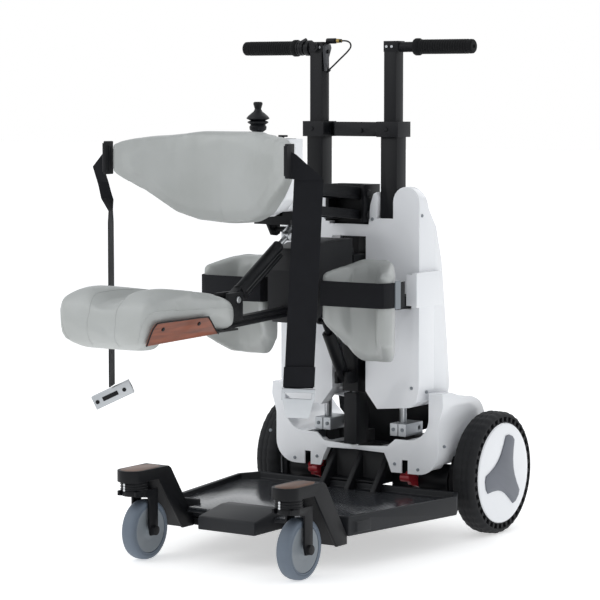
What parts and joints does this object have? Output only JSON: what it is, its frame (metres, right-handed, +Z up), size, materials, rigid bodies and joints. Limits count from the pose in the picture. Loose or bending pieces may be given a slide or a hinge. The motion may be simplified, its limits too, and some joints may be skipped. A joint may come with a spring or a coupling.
{
  "type": "sit to stand lift",
  "caption": "Powered sit-to-stand lift: saddle seat, chest pad and knee cups on a wheeled base with a foot tray and two push handles.",
  "frame": {"origin": "centre of the footprint, on the floor under the lift", "axes": "+X to the lift's right-hand side, +Y from the open foot end towards the drive wheels, +Z up"},
  "size_m": [0.586, 1.182, 1.079],
  "materials": {
    "frame_black": "satin",
    "black_plastic": "matte",
    "white_gloss": "glossy",
    "grey_plastic": "matte",
    "red_plastic": "satin",
    "bright_steel": "brushed",
    "cast_silver": "satin",
    "drive_tyre": "matte",
    "caster_rubber": "matte",
    "mat_rubber": "matte",
    "foam_grip": "matte",
    "pad_leather": "satin",
    "webbing": "woven",
    "dark_wood": "satin",
    "light_wood": "satin"
  },
  "bodies": {
    "base": {"foot_tray": "frame_black", "tray_mat": "mat_rubber", "heel_guard": "black_plastic", "caster_arm_left": "frame_black", "caster_arm_right": "frame_black", "arm_inlays": "light_wood", "base_frame": "frame_black", "base_shell": "white_gloss", "guide_rods": "bright_steel", "rod_clamps": "cast_silver", "lift_drive": "black_plastic", "lift_screw": "bright_steel", "drive_units": "cast_silver", "battery_pack": "grey_plastic"},
    "drive_wheel_left": {"wheel_tyre_left": "drive_tyre", "wheel_hub_left": "white_gloss"},
    "drive_wheel_right": {"wheel_tyre_right": "drive_tyre", "wheel_hub_right": "white_gloss"},
    "caster_swivel_left": {"caster_fork_left": "frame_black"},
    "caster_swivel_right": {"caster_fork_right": "frame_black"},
    "caster_wheel_left": {"caster_tyre_left": "caster_rubber", "caster_hub_left": "grey_plastic"},
    "caster_wheel_right": {"caster_tyre_right": "caster_rubber", "caster_hub_right": "grey_plastic"},
    "release_left": {"release_lever_left": "red_plastic"},
    "release_right": {"release_lever_right": "red_plastic"},
    "column": {"column_front_shell": "white_gloss", "column_rear_shell": "white_gloss", "column_spine": "frame_black", "outer_masts": "frame_black", "mast_clamp": "black_plastic", "knee_pad_left": "pad_leather", "knee_pad_right": "pad_leather", "knee_straps": "webbing"},
    "handle_post_left": {"inner_mast_left": "frame_black", "grip_left": "foam_grip", "brake_cable": "black_plastic"},
    "handle_post_right": {"inner_mast_right": "frame_black", "grip_right": "foam_grip"},
    "brake": {"brake_lever": "grey_plastic"},
    "lift_hub": {"hub_housing": "black_plastic", "seat_rail": "frame_black", "seat_cushion": "pad_leather", "seat_side_panels": "dark_wood"},
    "strut_lower": {"strut_tube": "frame_black"},
    "strut_upper": {"strut_rod": "bright_steel"},
    "actuator_lower": {"actuator_tube": "frame_black"},
    "actuator_upper": {"actuator_rod": "bright_steel"},
    "upper_arm": {"arm_upper": "frame_black"},
    "lower_arm": {"arm_lower": "frame_black"},
    "chest_carrier": {"carrier": "frame_black", "console_housing": "white_gloss", "pad_back_shell": "white_gloss", "chest_pad": "pad_leather", "belt_right": "webbing", "belt_left": "webbing", "belt_hardware": "bright_steel"},
    "console_toggle": {"console_switch": "black_plastic"},
    "stick_gimbal": {"joystick_gimbal": "grey_plastic"},
    "stick": {"joystick": "black_plastic"}
  },
  "joints": [
    {"name": "drive_left_spin", "type": "hinge", "parent": "base", "child": "drive_wheel_left", "pos_m": [-0.262, 0.457, 0.134], "axis": [1, 0, 0], "continuous": true},
    {"name": "caster_left_swivel", "type": "hinge", "parent": "base", "child": "caster_swivel_left", "pos_m": [-0.192, -0.24, 0.15], "axis": [0, 0, 1], "continuous": true},
    {"name": "caster_left_spin", "type": "hinge", "parent": "caster_swivel_left", "child": "caster_wheel_left", "pos_m": [-0.192, -0.205, 0.0625], "axis": [1, 0, 0], "continuous": true},
    {"name": "release_left_pull", "type": "hinge", "parent": "base", "child": "release_left", "pos_m": [-0.127, 0.385, 0.118], "axis": [-1, 0, 0], "range_deg": [0, 30]},
    {"name": "drive_right_spin", "type": "hinge", "parent": "base", "child": "drive_wheel_right", "pos_m": [0.262, 0.457, 0.134], "axis": [1, 0, 0], "continuous": true},
    {"name": "caster_right_swivel", "type": "hinge", "parent": "base", "child": "caster_swivel_right", "pos_m": [0.192, -0.24, 0.15], "axis": [0, 0, 1], "continuous": true},
    {"name": "caster_right_spin", "type": "hinge", "parent": "caster_swivel_right", "child": "caster_wheel_right", "pos_m": [0.192, -0.205, 0.0625], "axis": [1, 0, 0], "continuous": true},
    {"name": "release_right_pull", "type": "hinge", "parent": "base", "child": "release_right", "pos_m": [0.127, 0.385, 0.118], "axis": [-1, 0, 0], "range_deg": [0, 30]},
    {"name": "column_lift", "type": "slide", "parent": "base", "child": "column", "axis": [0, 0, 1], "range_m": [0, 0.12]},
    {"name": "handle_left_height", "type": "slide", "parent": "column", "child": "handle_post_left", "axis": [0, 0, 1], "range_m": [-0.08, 0.06]},
    {"name": "handle_right_height", "type": "slide", "parent": "column", "child": "handle_post_right", "axis": [0, 0, 1], "range_m": [-0.08, 0.06]},
    {"name": "brake_squeeze", "type": "hinge", "parent": "handle_post_left", "child": "brake", "pos_m": [-0.076, 0.304, 1.05], "axis": [-1, 0, 0], "range_deg": [0, 14], "stiffness_Nm_per_rad": 0.8},
    {"name": "hub_lift", "type": "hinge", "parent": "column", "child": "lift_hub", "pos_m": [0, 0.25, 0.6], "axis": [-1, 0, 0], "range_deg": [0, 20]},
    {"name": "strut_foot", "type": "hinge", "parent": "lift_hub", "child": "strut_lower", "pos_m": [0, -0.165, 0.545], "axis": [1, 0, 0], "range_deg": [-2, 12]},
    {"name": "strut_slide", "type": "slide", "parent": "strut_lower", "child": "strut_upper", "axis": [0, 0.8612, 0.5082], "range_m": [-0.012, 0.004]},
    {"name": "actuator_foot", "type": "hinge", "parent": "column", "child": "actuator_lower", "pos_m": [0, 0.257, 0.345], "axis": [1, 0, 0], "range_deg": [-1, 6]},
    {"name": "actuator_stroke", "type": "slide", "parent": "actuator_lower", "child": "actuator_upper", "axis": [0, -0.5222, 0.8529], "range_m": [-0.002, 0.055]},
    {"name": "arm_upper_swing", "type": "hinge", "parent": "column", "child": "upper_arm", "pos_m": [0, 0.275, 0.744], "axis": [-1, 0, 0], "range_deg": [0, 20]},
    {"name": "arm_lower_swing", "type": "hinge", "parent": "column", "child": "lower_arm", "pos_m": [0, 0.275, 0.698], "axis": [-1, 0, 0], "range_deg": [0, 20]},
    {"name": "carrier_level", "type": "hinge", "parent": "upper_arm", "child": "chest_carrier", "pos_m": [0, 0.01, 0.77], "axis": [-1, 0, 0], "range_deg": [-20, 0]},
    {"name": "toggle_tilt", "type": "hinge", "parent": "chest_carrier", "child": "console_toggle", "pos_m": [0.07, -0.081, 0.866], "axis": [0, 1, 0], "range_deg": [-12, 12], "stiffness_Nm_per_rad": 0.05},
    {"name": "stick_fore_aft", "type": "hinge", "parent": "chest_carrier", "child": "stick_gimbal", "pos_m": [0, -0.069, 0.874], "axis": [1, 0, 0], "range_deg": [-12, 12], "stiffness_Nm_per_rad": 0.3},
    {"name": "stick_side", "type": "hinge", "parent": "stick_gimbal", "child": "stick", "pos_m": [0, -0.069, 0.874], "axis": [0, 1, 0], "range_deg": [-12, 12], "stiffness_Nm_per_rad": 0.3}
  ],
  "couplings": [
    {"joint": "arm_upper_swing", "follows": "hub_lift", "ratio": 1},
    {"joint": "arm_lower_swing", "follows": "hub_lift", "ratio": 1},
    {"joint": "carrier_level", "follows": "hub_lift", "ratio": -1},
    {"joint": "strut_foot", "follows": "hub_lift", "ratio": 0.337},
    {"joint": "strut_slide", "follows": "hub_lift", "m_per_rad": -0.0148},
    {"joint": "actuator_foot", "follows": "hub_lift", "ratio": 0.141},
    {"joint": "actuator_stroke", "follows": "hub_lift", "m_per_rad": 0.1325}
  ]
}
